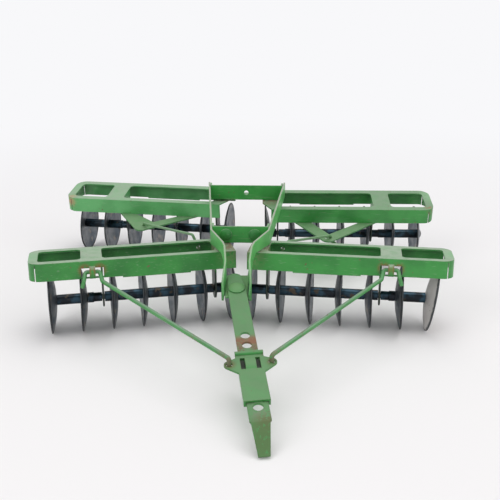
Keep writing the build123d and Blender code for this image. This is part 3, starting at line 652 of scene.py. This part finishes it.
@dataclass(frozen=True)
class Warp:
    """How far one disc is from true.

    Attributes:
        lean: Rise along the axle for each unit of radius, at the top of the turn.
        wave: Height of the wobble at the rim, in metres.
        start: Where round the turn the wobble starts, in radians.
        rim: The rim's radius, in metres.
    """

    lean: float
    wave: float
    start: float
    rim: float

    def shift(self, radius: Array, turn: Array) -> Array:
        """Distance along the axle.

        It is lean * radius * cos turn + wave * (radius / rim)^2 * sin(2 turn + start).

        Args:
            radius: Radii in metres.
            turn: Angles from the top, in radians.

        Returns:
            The distances, in metres.
        """
        wobble = self.wave * (radius / self.rim) ** 2 * np.sin(2 * turn + self.start)
        return self.lean * radius * np.cos(turn) + wobble


def turned(profile: Array, origin: Array, axis: Array, steps: int, warp: Warp) -> Surface:
    """Turns a closed profile of (distance along the axis, radius) about an axis.

    Point (i, k) is origin + axis * (along_i + shift) + radius_i * (cos turn_k * up + sin turn_k * across),
    where up is the plumb direction squared to the axis.

    Args:
        profile: n by 2, along and radius in metres.
        origin: Point on the axis.
        axis: Unit vector.
        steps: Points round the turn.
        warp: Extra distance along the axis.

    Returns:
        The surface, with turn and radius share as its UV.
    """
    turn = np.linspace(0.0, 2 * np.pi, steps, endpoint=False)[None, :]
    up = np.array([0.0, 0.0, 1.0]) - axis * axis[2]
    up /= np.linalg.norm(up)
    across = np.cross(axis, up)
    along, radius = profile[:, :1], profile[:, 1:]
    spoke = np.cos(turn)[..., None] * up + np.sin(turn)[..., None] * across
    points = origin + (along + warp.shift(radius, turn))[..., None] * axis + radius[..., None] * spoke
    uv = np.stack(np.broadcast_arrays(turn / (2 * np.pi), radius / radius.max()), -1)
    return Surface(points, close_rows=True, close_columns=True, uv=uv)


def put_piece(
    name: str, surfaces: list[Surface], material: bpy.types.Material, smooth_deg: float
) -> bpy.types.Object:
    """Joins surfaces into one mesh object at the origin.

    Args:
        name: The piece's name.
        surfaces: Its surfaces.
        material: Its finish.
        smooth_deg: Edges sharper than this stay sharp.

    Returns:
        The new object, with doubles merged and faces pointing outwards.
    """
    starts = np.cumsum([0] + [s.points.shape[0] * s.points.shape[1] for s in surfaces])
    points = np.concatenate([s.points.reshape(-1, 3) for s in surfaces])
    quads = np.concatenate([s.quads() + start for s, start in zip(surfaces, starts)])
    mesh = bpy.data.meshes.new(name)
    mesh.from_pydata(points.tolist(), [], quads.tolist())
    if all(s.uv is not None for s in surfaces):
        layer = mesh.uv_layers.new(name="surface")
        uv = np.concatenate([s.uv.reshape(-1, 2) for s in surfaces])
        layer.data.foreach_set("uv", uv[quads.ravel()].astype(np.float32).ravel())
    shell = bmesh.new()
    shell.from_mesh(mesh)
    bmesh.ops.remove_doubles(shell, verts=shell.verts, dist=SAME_POINT)
    bmesh.ops.recalc_face_normals(shell, faces=shell.faces)
    shell.to_mesh(mesh)
    shell.free()
    mesh.shade_smooth()
    mesh.set_sharp_from_angle(angle=math.radians(smooth_deg))
    mesh.materials.append(material)
    made = bpy.data.objects.new(name, mesh)
    bpy.context.scene.collection.objects.link(made)
    return made


def softened(node: str, name: str, material: bpy.types.Material, bevel_mm: float) -> bpy.types.Object:
    """Copy of a pressed or turned CAD piece with its sheet edges eased.

    The copy's doubles are merged and flat triangles joined, then a small bevel rounds every clear edge.

    Args:
        node: The CAD node that the piece stands for.
        name: The piece's name.
        material: Its finish.
        bevel_mm: Width of the eased edge, or 0 for none.

    Returns:
        The new object, which already stands for the node and rides on its body.
    """
    source = bpy.data.objects[node]
    mesh = source.data.copy()
    shell = bmesh.new()
    shell.from_mesh(mesh)
    bmesh.ops.remove_doubles(shell, verts=shell.verts, dist=SAME_CORNER)
    bmesh.ops.dissolve_limit(
        shell,
        angle_limit=math.radians(FLAT_DEG),
        use_dissolve_boundaries=False,
        verts=shell.verts,
        edges=shell.edges,
    )
    shell.to_mesh(mesh)
    shell.free()
    mesh.materials.clear()
    mesh.materials.append(material)
    made = bpy.data.objects.new(name, mesh)
    bpy.context.scene.collection.objects.link(made)
    mesh.shade_smooth()
    mesh.set_sharp_from_angle(angle=math.radians(SHARP_DEG))
    if bevel_mm > 0:
        ease = made.modifiers.new("eased edge", "BEVEL")
        ease.width = bevel_mm * MM
        ease.segments = 2
        ease.limit_method = "ANGLE"
        ease.angle_limit = math.radians(EASED_DEG)
        ease.use_clamp_overlap = True
        ease.harden_normals = False
    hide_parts(node)
    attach(made, source["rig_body"])
    return made


# ------------------------------------------------------------------ sub-assemblies


@dataclass
class DiscGang:
    """One gang: dished discs on an axle, with blued sleeves between them.

    The axle's place comes from the gang's rolling joint. Only the outermost disc may be bent, and then it
    gets a painted reflection, pale from a given reach inside its hub outwards.
    """

    side: Side
    end: End
    joint: dict[str, Any]
    sleeve: bpy.types.Material
    bare: bpy.types.Material
    bent_deg: float = 0.0
    # how far inside the hub the bent disc's painted reflection starts
    reflection_reach_mm: float = 9.0
    count: int = 7
    pitch_mm: float = 17.2
    disc_r_mm: float = 19.05
    disc_t_mm: float = 0.9
    dish_mm: float = 3.3
    bore_r_mm: float = 1.62
    wobble_mm: tuple[float, float] = (0.05, 0.16)
    wobble_seed: int = 7
    sleeve_bevel_mm: float = 0.25
    sharp_deg: float = 40.0
    face_rings: int = 18
    rim_points: int = 5
    steps: int = 72

    @property
    def name(self) -> str:
        """Which gang it is, such as front_left."""
        return gang_name(self.end, self.side)

    @property
    def origin(self) -> Array:
        """Axle point at the outer disc."""
        return np.array(self.joint["pos_m"], float)

    @property
    def axis(self) -> Array:
        """Unit vector along the axle to the right."""
        axis = np.array(self.joint["axis"], float)
        return axis / np.linalg.norm(axis)

    def steel(self) -> bpy.types.Material:
        """The discs' finish, with a painted reflection on a bent one.

        Returns:
            The material.
        """
        plain = DiscSteel(f"blued_disc_steel_{self.name}")
        if not self.bent_deg:
            return plain.build()
        start = float(self.axis @ self.origin) / MM - self.reflection_reach_mm
        return replace(plain, reflection_axis=tuple(self.axis), reflection_from_mm=start).build()

    def section(self) -> Array:
        """Outline of a disc cut through its axle.

        The mid surface is a spherical cap, rise = ball - sqrt(ball^2 - radius^2); the two faces lie half
        a thickness either side of it, and the rim between them is a half round.

        Returns:
            Rise and radius of each point in millimetres, n by 2.
        """
        half = self.disc_t_mm / 2
        ball = (self.disc_r_mm**2 + self.dish_mm**2) / (2 * self.dish_mm)
        tip = self.disc_r_mm - half
        radius = np.linspace(self.bore_r_mm, tip, self.face_rings)
        rise = ball - np.sqrt(ball**2 - radius**2)
        round_off = np.linspace(-np.pi / 2, np.pi / 2, self.rim_points + 2)[1:-1]
        lower = np.stack([rise - half, radius], -1)
        rim = np.stack([rise[-1] + half * np.sin(round_off), tip + half * np.cos(round_off)], -1)
        upper = np.stack([rise + half, radius], -1)[::-1]
        return np.concatenate([lower, rim, upper])

    def discs(self) -> bpy.types.Object:
        """Turns the section about the axle at every pitch, each disc with its own slight wobble.

        Returns:
            The piece, in place of the gang's CAD discs.
        """
        section = self.section()
        rng = np.random.default_rng(self.wobble_seed + self.side.value + 2 * self.end.value)
        surfaces = []
        for i in range(self.count):
            hub = -self.side.value * (i * self.pitch_mm - self.end.value * self.dish_mm)
            along = hub - self.side.value * self.end.value * section[:, 0]
            profile = np.stack([along, section[:, 1]], -1) * MM
            lean = math.tan(math.radians(self.bent_deg)) * self.side.value if i == 0 else 0.0
            wave, start = rng.uniform(*self.wobble_mm) * MM, rng.uniform(0, 2 * np.pi)
            warp = Warp(lean, wave, start, self.disc_r_mm * MM)
            surfaces.append(turned(profile, self.origin, self.axis, self.steps, warp))
        made = put_piece(f"{self.name}_dished_discs", surfaces, self.steel(), self.sharp_deg)
        return self._stand_for(made, "discs")

    def sleeves(self) -> list[bpy.types.Object]:
        """Sleeves copied from the spools with their ends eased, and the headed axle.

        Returns:
            The two pieces.
        """
        made = softened(f"{self.name}_spools", f"{self.name}_sleeves", self.sleeve, self.sleeve_bevel_mm)
        shaft = softened(f"{self.name}_axle", f"{self.name}_headed_axle", self.bare, 0.0)
        return [made, shaft]

    def _stand_for(self, made: bpy.types.Object, part: str) -> bpy.types.Object:
        """Puts a piece in a CAD node's place on the gang's body.

        Args:
            made: The piece.
            part: How the CAD node's name ends.

        Returns:
            The same piece.
        """
        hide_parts(f"{self.name}_{part}")
        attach(made, f"{self.name}_gang")
        return made


@dataclass
class Stamping:
    """A painted pressing: a CAD piece with eased edges and its own enamel."""

    node: str
    enamel: ToyEnamel
    bevel_mm: float = 0.28
    slot: str = "green_enamel"

    def dress(self) -> bpy.types.Object:
        """Builds the eased copy in its finish.

        Returns:
            The piece, in place of the CAD one.
        """
        made = softened(self.node, f"{self.node}_pressed", self.enamel.build(), self.bevel_mm)
        return made


@dataclass(frozen=True)
class Lamp:
    """A square soft lamp: its name, its place, its side, and its power in watts."""

    name: str
    place: Point
    size: float
    watts: float


@dataclass
class Studio:
    """Plain pale floor, soft light and the camera.

    From plain_from to plain_to metres off the middle, the floor passes into the backdrop's colour. The
    sky lights the model at sky_light, and shows to the camera and in gloss at sky_seen.
    """

    floor_size: float = 9.0
    floor_grey: str = "#f1efef"
    backdrop: str = "#f8f8fa"
    plain_from: float = 0.14
    plain_to: float = 0.62
    sky_light: float = 0.55
    sky_seen: float = 1.0
    eye: Point = (0.0220, -0.4574, 0.2111)
    gaze: Point = (-0.0328, 0.9391, -0.3419)
    lens_mm: float = 61.2
    sensor_mm: float = 36.0
    clip: tuple[float, float] = (0.01, 20.0)
    lamps_aim: Point = (0.0, 0.03, 0.02)
    lamps: tuple[Lamp, ...] = (
        Lamp("lamp_over", (0.1, 0.15, 1.3), 1.4, 9.0),
        Lamp("lamp_front_left", (-0.9, -0.9, 0.8), 0.9, 5.0),
        Lamp("lamp_front_right", (1.1, -0.6, 0.6), 0.9, 3.0),
    )

    def _aim(self, made: bpy.types.Object, place: Point, gaze: Vector) -> None:
        """Sets a camera or lamp at a place, looks along a direction, and adds it to the scene.

        Args:
            made: The camera or lamp.
            place: Where it stands.
            gaze: Which way it looks.
        """
        made.location = place
        made.rotation_mode = "QUATERNION"
        made.rotation_quaternion = gaze.to_track_quat("-Z", "Y")
        bpy.context.scene.collection.objects.link(made)

    def camera(self) -> bpy.types.Object:
        """Makes the scene's camera.

        Returns:
            The camera.
        """
        data = bpy.data.cameras.new("camera")
        data.lens = self.lens_mm
        data.sensor_width = self.sensor_mm
        data.clip_start, data.clip_end = self.clip
        made = bpy.data.objects.new("camera", data)
        self._aim(made, self.eye, Vector(self.gaze))
        bpy.context.scene.camera = made
        return made

    def floor(self) -> bpy.types.Object:
        """Flat pale floor, a square at Z = 0, which the camera sees as the backdrop away from the model.

        Returns:
            The floor.
        """
        edge = np.array([-0.5, 0.5]) * self.floor_size
        x, y = np.meshgrid(edge, edge, indexing="ij")
        points = np.stack([x, y, np.zeros_like(x)], -1)
        r = Recipe("pale_card")
        card = add_node(r.tree, "BsdfDiffuse", {"Color": linear(self.floor_grey)})
        white = add_node(r.tree, "Emission", {"Color": linear(self.backdrop)})
        gap = add_node(r.tree, "VectorMath", {0: r.place}, "Value", operation="LENGTH")
        reach = {"From Min": self.plain_from, "From Max": self.plain_to}
        away = add_node(r.tree, "MapRange", {"Value": gap, **reach}, **SMOOTH)
        seen = add_node(r.tree, "LightPath", out="Is Camera Ray")
        share = add_node(r.tree, "Math", {0: seen, 1: away}, operation="MULTIPLY")
        both = add_node(r.tree, "MixShader", {0: share, 1: card, 2: white})
        add_node(r.tree, "OutputMaterial", {0: both})
        made = put_piece("floor", [Surface(points)], r.material, SHARP_DEG)
        if made.data.polygons[0].normal.z < 0:
            made.data.flip_normals()
        made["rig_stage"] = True
        return made

    def hang(self, lamp: Lamp) -> bpy.types.Object:
        """Makes one lamp, aimed at the model's middle.

        Args:
            lamp: Its size, place and power.

        Returns:
            The lamp.
        """
        data = bpy.data.lights.new(lamp.name, "AREA")
        data.shape = "SQUARE"
        data.size = lamp.size
        data.energy = lamp.watts
        made = bpy.data.objects.new(lamp.name, data)
        self._aim(made, lamp.place, Vector(self.lamps_aim) - Vector(lamp.place))
        return made

    def world(self) -> None:
        """Pale even sky, brighter to the camera and in gloss than on the model."""
        sky = bpy.data.worlds.new("studio")
        sky.use_nodes = True
        tree = sky.node_tree
        tree.nodes.clear()
        camera = add_node(tree, "LightPath", out="Is Camera Ray")
        gloss = add_node(tree, "LightPath", out="Is Glossy Ray")
        seen = add_node(tree, "Math", {0: camera, 1: gloss}, operation="MAXIMUM")
        strength = {"To Min": self.sky_light, "To Max": self.sky_seen}
        level = add_node(tree, "MapRange", {"Value": seen, **strength})
        glow = add_node(tree, "Background", {"Color": linear(self.backdrop), "Strength": level})
        add_node(tree, "OutputWorld", {0: glow})
        bpy.context.scene.world = sky

    def build(self) -> None:
        """Sets up the whole studio."""
        self.camera()
        self.floor()
        self.world()
        for lamp in self.lamps:
            self.hang(lamp)
        bpy.context.scene.view_settings.view_transform = "Standard"


@dataclass
class DiscHarrow:
    """The whole toy: four gangs, their frames, the centre frame, the drawbar and the links.

    Wear on a gang's frame is placed by its distance inwards from the outer disc, ahead of the axle and
    over the floor. Wear and painted shadow on the drawbar are placed by their distance ahead of the rivet,
    to the right and over the top.
    """

    frame: dict[str, Any]
    bent_deg: float = 9.0

    FRAME_MARKS: ClassVar[tuple[WearAndShadeSpot, ...]] = (
        WearAndShadeSpot((104.0, 0.0, 44.0), 19.0, 0.75, "#80715c"),  # brown dust round the pivot
        WearAndShadeSpot((-13.0, -3.0, 41.0), 15.0, 0.95, "#83ac83"),  # outer end paler green
    )
    STAPLE_RUST: ClassVar[tuple[WearAndShadeSpot, ...]] = (
        WearAndShadeSpot((20.4, 15.0, 41.0), 5.2, 0.85, "#84482b"),
        WearAndShadeSpot((28.6, 15.0, 41.0), 5.2, 0.85, "#84482b"),
    )
    REAR_CORNER_RUST: ClassVar[dict[Side, WearAndShadeSpot]] = {
        Side.LEFT: WearAndShadeSpot((-6.0, 15.0, 40.0), 5.5, 0.85, "#b48e6c"),
        Side.RIGHT: WearAndShadeSpot((-6.0, 15.0, 41.0), 4.5, 0.6, "#8d6c50"),
    }
    DRAWBAR_WEAR_AND_SHADE: ClassVar[tuple[WearAndShadeSpot, ...]] = (
        # rubbed to brown steel behind the slider
        WearAndShadeSpot((45.5, -3.4, 0.0), 6.0, 0.95, "#7c5a43"),
        WearAndShadeSpot((45.5, 3.4, 0.0), 6.0, 0.95, "#805a42"),
        WearAndShadeSpot((51.0, -4.5, 0.0), 4.2, 0.8, "#6f5c45"),
        WearAndShadeSpot((51.0, 4.5, 0.0), 4.2, 0.8, "#6f5c45"),
        # painted shadow on the bar, seen through the slider's two slots, which lie in deep shade
        WearAndShadeSpot((63.0, -4.0, 0.0), 6.5, 1.2, "#1d2219"),
        WearAndShadeSpot((63.0, 4.0, 0.0), 6.5, 1.2, "#1d2219"),
        # painted shadow under the slider's front edge, then grime and wear down to the turned end
        WearAndShadeSpot((87.0, -4.0, 0.0), 5.0, 0.9, "#3f4d36"),
        WearAndShadeSpot((87.0, 4.0, 0.0), 5.0, 0.9, "#3f4d36"),
        WearAndShadeSpot((98.0, 0.0, 0.0), 5.5, 0.7, "#6f8264"),
        WearAndShadeSpot((103.0, 3.0, 0.0), 8.0, 0.75, "#66603f"),
        WearAndShadeSpot((112.0, 0.0, 0.0), 18.0, 0.9, "#507040"),
    )
    SLIDER_WEAR: ClassVar[tuple[WearAndShadeSpot, ...]] = (
        WearAndShadeSpot((63.5, -10.2, 0.0), 4.2, 0.85, "#6a6a3f"),
        WearAndShadeSpot((63.5, 10.2, 0.0), 4.2, 0.85, "#6a6a3f"),
        WearAndShadeSpot((56.0, 7.5, 0.0), 4.5, 0.55, "#5f6a48"),
    )
    # the right rod's wear, at its eye and a little way up; the left one's is its mirror
    ROD_WEAR: ClassVar[tuple[WearAndShadeSpot, ...]] = (
        WearAndShadeSpot((63.5, 10.2, 0.0), 13.0, 0.75, "#6e6b52"),
        WearAndShadeSpot((46.0, 26.52, 0.0), 9.0, 0.5, "#77725a"),
    )
    # the side plates' forward tails keep a darker green; the spot's middle comes from the plate itself
    TAIL_DARKER_GREEN: ClassVar[WearAndShadeSpot] = WearAndShadeSpot((0.0, 0.0, 0.0), 24.0, 1.2, "#418043")

    def joint(self, name: str) -> dict[str, Any]:
        """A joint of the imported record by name."""
        return next(j for j in self.frame["joints"] if j["name"] == name)

    def on_frame(self, side: Side, end: End, spot: WearAndShadeSpot) -> WearAndShadeSpot:
        """Moves a spot on to a gang's frame.

        Args:
            side: The gang's side.
            end: The gang's end.
            spot: The spot, placed along the frame.

        Returns:
            The spot in the frame's axes.
        """
        roll = self.joint(f"{gang_name(end, side)}_roll")
        axis = np.array(roll["axis"], float)
        rearward = np.array([-axis[1], axis[0], 0.0])
        inwards, ahead, height = spot.centre_mm
        point = np.array(roll["pos_m"], float) / MM - side.value * inwards * axis - ahead * rearward
        return replace(spot, centre_mm=(float(point[0]), float(point[1]), height))

    def on_drawbar(self, spot: WearAndShadeSpot, mirror: int = 1) -> WearAndShadeSpot:
        """Moves a spot on to the drawbar.

        Args:
            spot: The spot, placed along the drawbar.
            mirror: 1 as placed, or -1 on the other side of the drawbar's middle.

        Returns:
            The spot in the frame's axes.
        """
        hinge = np.array(self.joint("drawbar_swivel")["pos_m"], float) / MM
        mounts = self.frame["record"]["mounts"]
        hole = np.array(next(m["pos_m"] for m in mounts if m["name"] == "hitch_hole"), float) / MM
        forward = (hole - hinge) / np.linalg.norm(hole - hinge)
        right = np.array([-forward[1], forward[0], 0.0])
        ahead, aside, over = spot.centre_mm
        point = hinge + forward * ahead + right * aside * mirror
        return replace(spot, centre_mm=(float(point[0]), float(point[1]), float(point[2]) + over))

    def frame_wear(self, side: Side, end: End) -> tuple[WearAndShadeSpot, ...]:
        """Wear of one gang's frame, with rust at the staple in front or at the outer corner behind.

        Args:
            side: The gang's side.
            end: The gang's end.

        Returns:
            The spots.
        """
        own = self.STAPLE_RUST if end is End.FRONT else (self.REAR_CORNER_RUST[side],)
        return tuple(self.on_frame(side, end, spot) for spot in self.FRAME_MARKS + own)

    def wear(self, node: str) -> tuple[WearAndShadeSpot, ...]:
        """Spots on a painted piece: rust, dust, rubbing and tone, and on the drawbar painted shadow.

        Args:
            node: The piece's CAD node.

        Returns:
            The spots, none on most pieces.
        """
        frames = {f"{gang_name(end, side)}_frame": (side, end) for end in End for side in Side}
        if node in frames:
            return self.frame_wear(*frames[node])
        if node == "drawbar":
            return tuple(self.on_drawbar(spot) for spot in self.DRAWBAR_WEAR_AND_SHADE)
        if node == "slider":
            return tuple(self.on_drawbar(spot) for spot in self.SLIDER_WEAR)
        if node.endswith("rod"):
            mirror = -1 if node.startswith("left") else 1
            return tuple(self.on_drawbar(spot, mirror) for spot in self.ROD_WEAR)
        if node.endswith("side_plate"):
            low, high = (np.array(corner, float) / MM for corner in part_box(node))
            tail = (float(low[0] + high[0]) / 2, float(low[1]), float(low[2]))
            return (replace(self.TAIL_DARKER_GREEN, centre_mm=tail),)
        return ()

    def coat(self, node: str) -> ToyEnamel:
        """The enamel of a painted piece, with its own spots, painted shadow among them on the drawbar.

        Args:
            node: The piece's CAD node.

        Returns:
            The enamel.
        """
        paint = next((kind for kind in Paint if node.endswith(kind.name.lower())), Paint.FITTING)
        return replace(paint.value, name=f"enamel_{node}", spots=self.wear(node))

    def gangs(self) -> list[bpy.types.Object]:
        """The four disc gangs; the front right one's outermost disc is bent.

        Returns:
            Their pieces.
        """
        sleeve = BluedTube("blued_sleeve").build()
        bare = BluedTube("worn_axle_steel", black="#4a4b4e", blue="#6c6f75", brown="#4f4334").build()
        made = []
        for end in End:
            for side in Side:
                roll = self.joint(f"{gang_name(end, side)}_roll")
                bent_deg = self.bent_deg if (side, end) == (Side.RIGHT, End.FRONT) else 0.0
                gang = DiscGang(side, end, roll, sleeve, bare, bent_deg)
                made += [gang.discs(), *gang.sleeves()]
        return made

    def stampings(self) -> list[bpy.types.Object]:
        """Every painted pressing and rivet, each with its own wear, and painted shadow on the drawbar; the
        round ones need no eased edge.

        Returns:
            The pieces.
        """
        done = {o["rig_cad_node"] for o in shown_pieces() if "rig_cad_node" in o}
        made = []
        for node in sorted(done):
            is_round = any(word in node for word in ("rivet", "wire", "rod"))
            stamping = Stamping(node, self.coat(node))
            made.append((replace(stamping, bevel_mm=0.0) if is_round else stamping).dress())
        return made


def main() -> None:
    """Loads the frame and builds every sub-assembly."""
    logging.basicConfig(level=logging.INFO, format="%(name)s: %(message)s")
    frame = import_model()
    Studio().build()
    harrow = DiscHarrow(frame)
    for piece in [*harrow.gangs(), *harrow.stampings()]:
        LOG.info("%s: %d faces", piece.name, len(piece.data.polygons))


if __name__ == "__main__":
    main()
